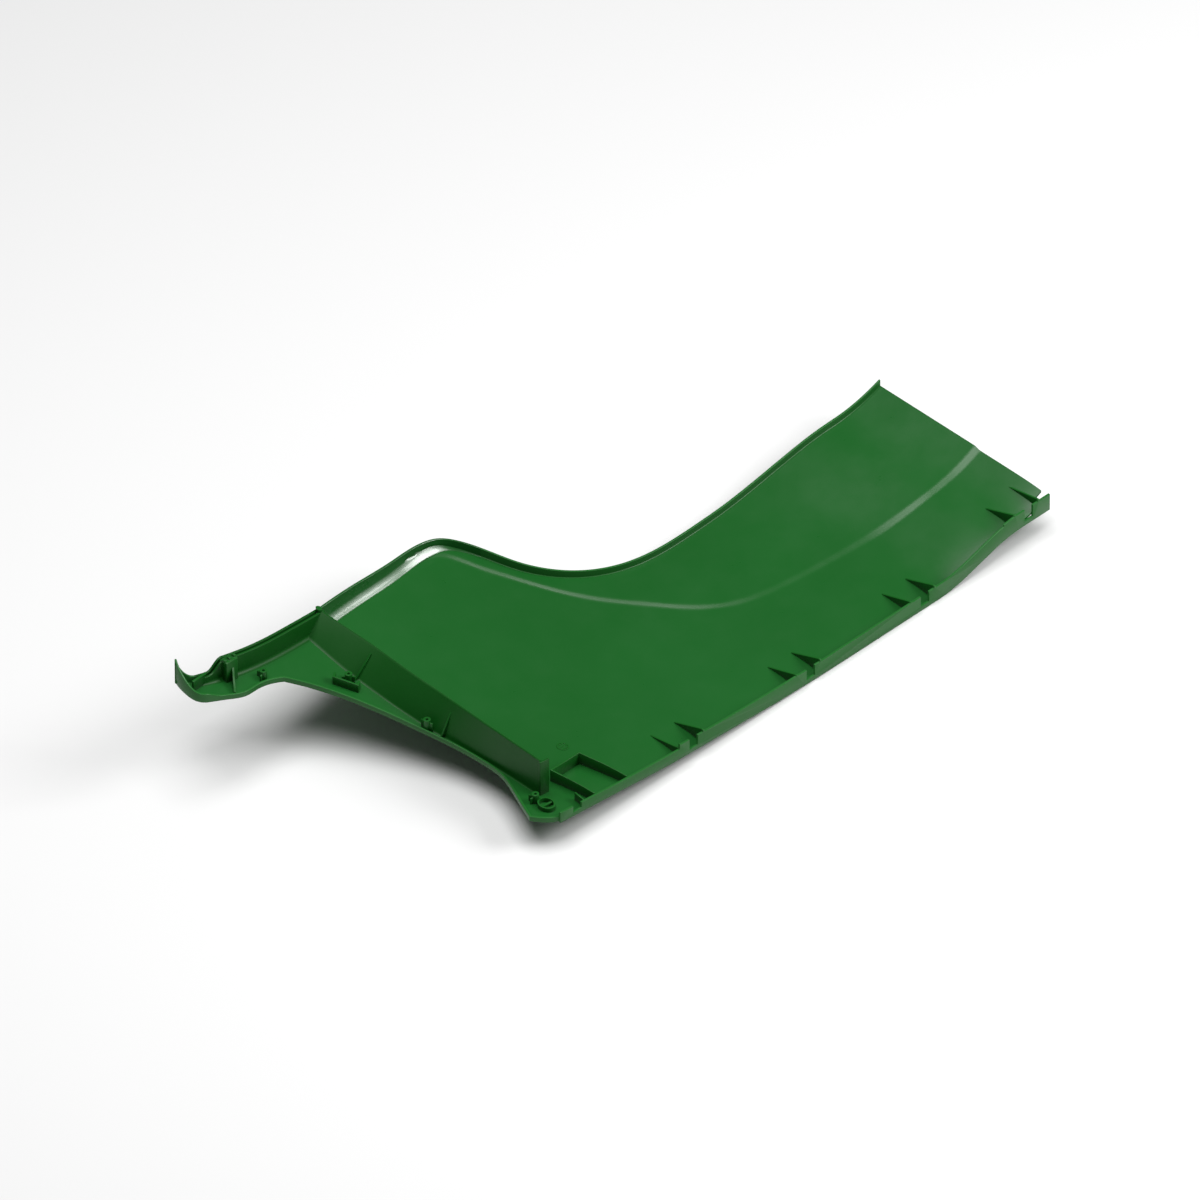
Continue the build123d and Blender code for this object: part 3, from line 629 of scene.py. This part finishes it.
hook_low, hook_climb = 9.0, 21.0
edge_foot = 2.0


def edge_rise(x, y):
    """Height of the edge wall: a hook at the tip, tall below it, then a low even lip."""
    if y > 349.0 and x < -190.0:
        return hook_low + hook_climb * min((y - 349.0) / 40.0, 1.0) ** 1.6
    return 4.0 + 5.0 * (1 - ease((x + 197.0) / 20.0))


def edge_section(x, y):
    """The lip's section at a place on the edge."""
    return wall_section(wall, edge_rise(x, y), edge_foot)


def saddle_section(x, y):
    """Behind the tower the wall dips, then climbs steeply to the hook."""
    along = min(max((-188.0 - x) / 18.0, 0.0), 1.0)
    return wall_section(wall, hook_low + hook_climb * along**2.5, edge_foot)


edge_stretches = [smooth_line(arm_end_points, 2.0), smooth_line(arm_edge_points, 3.0),
                  smooth_line(lamp_points, 4.0), smooth_line(lobe_points, 3.0)]
edge_line = np.concatenate([part[:-1] for part in edge_stretches[:-1]] + [edge_stretches[-1]])
run_section("edge_lip", edge_line, edge_section, wall_green_painted_light,
            ["horn_tip", "arm_lower_lip", "lamp_opening_lip", "corner_lobe_lip"])
run_section("tip_saddle", smooth_line([(-186, 377.5), (-196, 382), horn_tip], 2.0), saddle_section,
            wall_green_painted_light, [])

# %% [markdown]
# ## The cross rib
# The rib is a tall thin wall that leans over the arm's floor, higher towards the corner. Its section
# changes all the way, so the stations of the drawing are joined by a smooth line in each value.

# %% Leaning rib
rib_stations = np.array([(394, -21, 2, 24.5), (377, -21, 3, 25), (308, -20, 8.5, 33),
                         (241, -13, 9, 39), (190, -5, 12, 43), (150, 4, 13, 46),
                         (110, 9, 13, 47), (45, 11, 13, 47)], float)
rib_foot_round = 2.0
rib_start, rib_stop, rib_rows_wanted = 45.0, 379.5, 70


def rib_values(along):
    """Foot, top and height of the rib at a place across the panel."""
    order = rib_stations[::-1]
    return [float(np.interp(along, order[:, 0], order[:, i])) for i in (1, 2, 3)]


rib_places = np.linspace(rib_start, rib_stop, rib_rows_wanted)
rib_table = np.array([rib_values(y) for y in rib_places])
for _ in range(6):
    rib_table[1:-1] = (rib_table[:-2] + 2 * rib_table[1:-1] + rib_table[2:]) / 4
rib_edit = bmesh.new()
rib_rows = []
for along, (foot, top, height) in zip(rib_places, rib_table):
    floor_z = inner_height(foot, along)
    top_z = inner_height(top, along) + height
    lean = (top - foot) / (top_z - floor_z)
    fillet = rib_foot_round
    points = [(foot - fillet, floor_z - 0.4), (foot - fillet, floor_z + 0.02)]
    for k in range(1, foot_steps + 1):
        turn = math.radians(90 * k / foot_steps)
        points.append((foot - fillet * (1 - math.sin(turn)) + lean * fillet * (1 - math.cos(turn)),
                       floor_z + fillet * (1 - math.cos(turn))))
    points += [(top - lean, top_z - 1.0), (top + 0.15, top_z - 0.35), (top + 0.6, top_z),
               (top + wall - 0.6, top_z), (top + wall - 0.15, top_z - 0.35),
               (top + wall - lean, top_z - 1.0)]
    points += [(foot + wall + lean * 2.0, floor_z + 2.0), (foot + wall + 0.6, floor_z + 0.6),
               (foot + wall + 2.0, floor_z - 0.3)]
    rib_rows.append([rib_edit.verts.new(place(x, along, z)) for x, z in points])
for near, far in zip(rib_rows, rib_rows[1:]):
    for i in range(len(near)):
        k = (i + 1) % len(near)
        rib_edit.faces.new((near[i], near[k], far[k], far[i]))
rib_edit.faces.new(rib_rows[0])
rib_edit.faces.new(list(reversed(rib_rows[-1])))
make_piece("leaning_rib", rib_edit, rib_green_painted_shade, ["cross_rib"])

# %% [markdown]
# ## Small fittings with softened edges
# Bosses, gussets, the pocket, the clip and the flange are exact in the CAD model, but their edges are
# knife sharp, and no moulding has such edges. Each one is copied, its loose triangles are joined into
# whole faces, and a narrow bevel rounds every sharp edge.

# %% Soften the CAD fittings


def soften(node, radius, finish):
    """A copy of a CAD node with its sharp edges rounded."""
    mesh = frame["nodes"][node].data.copy()
    edit = bmesh.new()
    edit.from_mesh(mesh)
    bmesh.ops.remove_doubles(edit, verts=edit.verts, dist=0.00002)
    bmesh.ops.dissolve_limit(edit, angle_limit=math.radians(1.5), verts=edit.verts, edges=edit.edges)
    edit.to_mesh(mesh)
    edit.free()
    mesh.name = node + "_soft"
    piece = bpy.data.objects.new(node + "_soft", mesh)
    bpy.context.collection.objects.link(piece)
    mesh.materials.clear()
    mesh.materials.append(finish)
    bpy.ops.object.select_all(action="DESELECT")
    piece.select_set(True)
    bpy.context.view_layer.objects.active = piece
    bevel = piece.modifiers.new("soft_edges", "BEVEL")
    bevel.width = radius * millimetre
    bevel.segments = 2
    bevel.limit_method = "ANGLE"
    bevel.angle_limit = math.radians(32)
    bevel.harden_normals = False
    bpy.ops.object.modifier_apply(modifier="soft_edges")
    bpy.ops.object.shade_smooth_by_angle(angle=math.radians(40))
    piece.select_set(False)
    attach(piece, "root")
    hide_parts(node)
    return piece


soft_radius = {"lower_flange": 0.5, "pocket_frame": 0.45, "corner_return_wall": 0.5,
               "notch_rib": 0.4, "lamp_clip": 0.45, "latch_tower": 0.5, "arm_divider_wall": 0.5,
               "horn_web": 0.5, "rim_knob": 0.9, "corner_cup": 0.4, "moulded_mark": 0.15,
               "rib_stiffener_upper": 0.3, "rib_stiffener_lower": 0.3}
soft_radius |= {name: 0.4 for name in frame["nodes"] if name.startswith("flange_gusset")}
soft_radius |= {name: 0.3 for name in frame["nodes"] if name.startswith("screw_boss")}
# The flange gets the lighter copy, painted light; the corner return wall the darker one, painted
# shade.
wall_painted_light_and_shade = {"lower_flange": wall_green_painted_light, "corner_return_wall": rib_green_painted_shade}
for node, radius in soft_radius.items():
    soften(node, radius, wall_painted_light_and_shade.get(node, fitting_green_painted_shade))
print("softened", len(soft_radius), "fittings")
